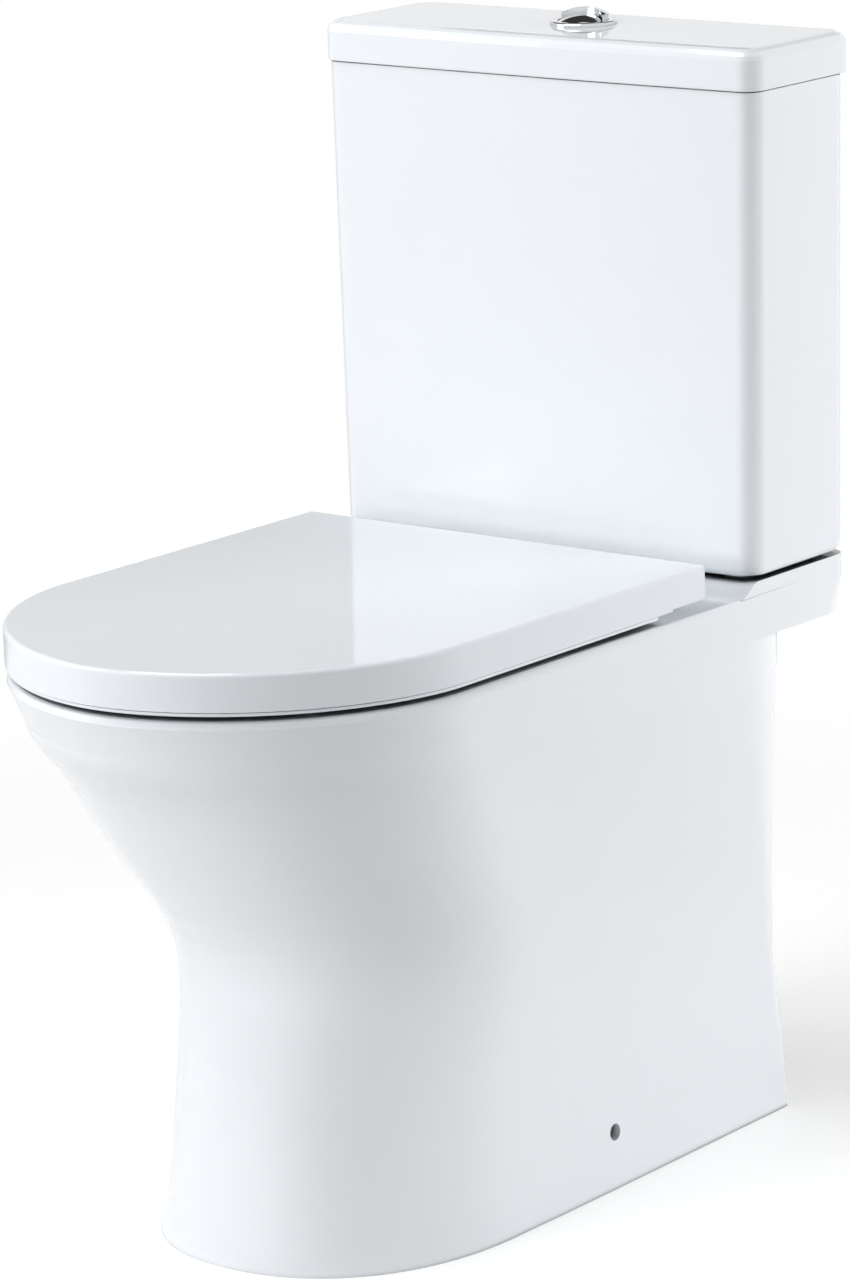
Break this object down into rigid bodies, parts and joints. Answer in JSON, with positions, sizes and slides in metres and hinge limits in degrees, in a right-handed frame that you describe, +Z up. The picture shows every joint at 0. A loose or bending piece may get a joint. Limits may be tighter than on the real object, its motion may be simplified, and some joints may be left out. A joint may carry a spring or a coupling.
{
  "type": "floor-standing toilet",
  "caption": "Floor-standing back-to-wall toilet with a close-coupled cistern, a two-part push button and a wrap-over seat.",
  "frame": {"origin": "on the floor under the middle of the bounding box", "axes": "+Z up; +Y towards the wall; +X to the right of someone who faces the toilet; X=0 is the plane of symmetry of the ceramic"},
  "size_m": [0.373, 0.614, 0.8006],
  "materials": {
    "glazed_ceramic": "white gloss glaze",
    "seat_plastic": "white gloss",
    "chrome": "bright plating",
    "white_plastic": "moulded",
    "blue_plastic": "moulded",
    "grey_plastic": "moulded",
    "black_rubber": "soft",
    "clear_rubber": "soft translucent",
    "steel": "brushed",
    "brass": "bare"
  },
  "bodies": {
    "toilet": {"pan": "glazed_ceramic", "rim_and_deck": "glazed_ceramic", "cistern_shelf": "glazed_ceramic", "bowl": "glazed_ceramic", "bowl_sump": "glazed_ceramic", "trapway": "glazed_ceramic", "trapway_fall": "glazed_ceramic", "outlet_spigot": "glazed_ceramic", "flush_channel": "glazed_ceramic", "cistern": "glazed_ceramic", "cistern_lid": "glazed_ceramic", "cistern_support_pads": "clear_rubber", "coupling_seal": "black_rubber", "coupling_bolts": "steel", "coupling_cone_washers": "black_rubber", "coupling_plate_washers": "steel", "coupling_wing_nuts": "brass", "flush_valve_base": "white_plastic", "flush_valve_washer": "black_rubber", "flush_valve_backnut": "white_plastic", "flush_valve_tower": "white_plastic", "flush_actuator_housing": "grey_plastic", "button_housing": "grey_plastic", "button_bezel": "chrome", "button_lock_nut": "grey_plastic", "fill_valve": "white_plastic", "fill_valve_lever_pin": "steel", "fill_valve_washer": "black_rubber", "fill_valve_backnut": "white_plastic", "hinge_posts": "chrome", "seat_studs": "steel", "seat_stud_sleeves": "black_rubber", "seat_stud_nuts": "white_plastic", "floor_brackets": "white_plastic", "side_fixing_screws": "steel"},
    "seat_ring": {"seat_ring": "seat_plastic", "ring_buffers": "clear_rubber", "ring_dampers": "grey_plastic", "hinge_pins": "steel"},
    "seat_lid": {"seat_lid": "seat_plastic", "lid_buffers": "clear_rubber", "lid_dampers": "grey_plastic"},
    "full_flush_button": {"full_flush_button": "chrome", "full_flush_rod": "white_plastic"},
    "half_flush_button": {"half_flush_button": "chrome", "half_flush_rod": "blue_plastic"},
    "flush_valve_lift": {"flush_lift_tube": "blue_plastic", "flush_valve_seal": "black_rubber", "half_flush_cup": "white_plastic"},
    "fill_float": {"fill_valve_float": "grey_plastic"},
    "fill_lever": {"fill_valve_lever": "grey_plastic"}
  },
  "joints": [
    {"name": "seat_ring_hinge", "type": "hinge", "parent": "toilet", "child": "seat_ring", "pos_m": [0, 0.123, 0.428], "axis": [-1, 0, 0], "range_deg": [0, 95]},
    {"name": "seat_lid_hinge", "type": "hinge", "parent": "seat_ring", "child": "seat_lid", "pos_m": [0, 0.123, 0.428], "axis": [1, 0, 0], "range_deg": [-96, 0]},
    {"name": "full_flush_press", "type": "slide", "parent": "toilet", "child": "full_flush_button", "axis": [0, 0, -1], "range_m": [0, 0.007], "stiffness_N_per_m": 400, "springref_m": -0.008},
    {"name": "half_flush_press", "type": "slide", "parent": "toilet", "child": "half_flush_button", "axis": [0, 0, -1], "range_m": [0, 0.007], "stiffness_N_per_m": 400, "springref_m": -0.008},
    {"name": "flush_valve_lift", "type": "slide", "parent": "toilet", "child": "flush_valve_lift", "axis": [0, 0, 1], "range_m": [0, 0.021]},
    {"name": "fill_float_drop", "type": "slide", "parent": "toilet", "child": "fill_float", "axis": [0, 0, -1], "range_m": [0, 0.014]},
    {"name": "fill_lever_turn", "type": "hinge", "parent": "toilet", "child": "fill_lever", "pos_m": [-0.12, 0.247, 0.66], "axis": [0, 1, 0], "range_deg": [0, 25.5]}
  ],
  "couplings": [
    {"joint": "flush_valve_lift", "follows": "full_flush_press", "ratio": 3},
    {"joint": "fill_lever_turn", "follows": "fill_float_drop", "rad_per_m": 31.5}
  ]
}
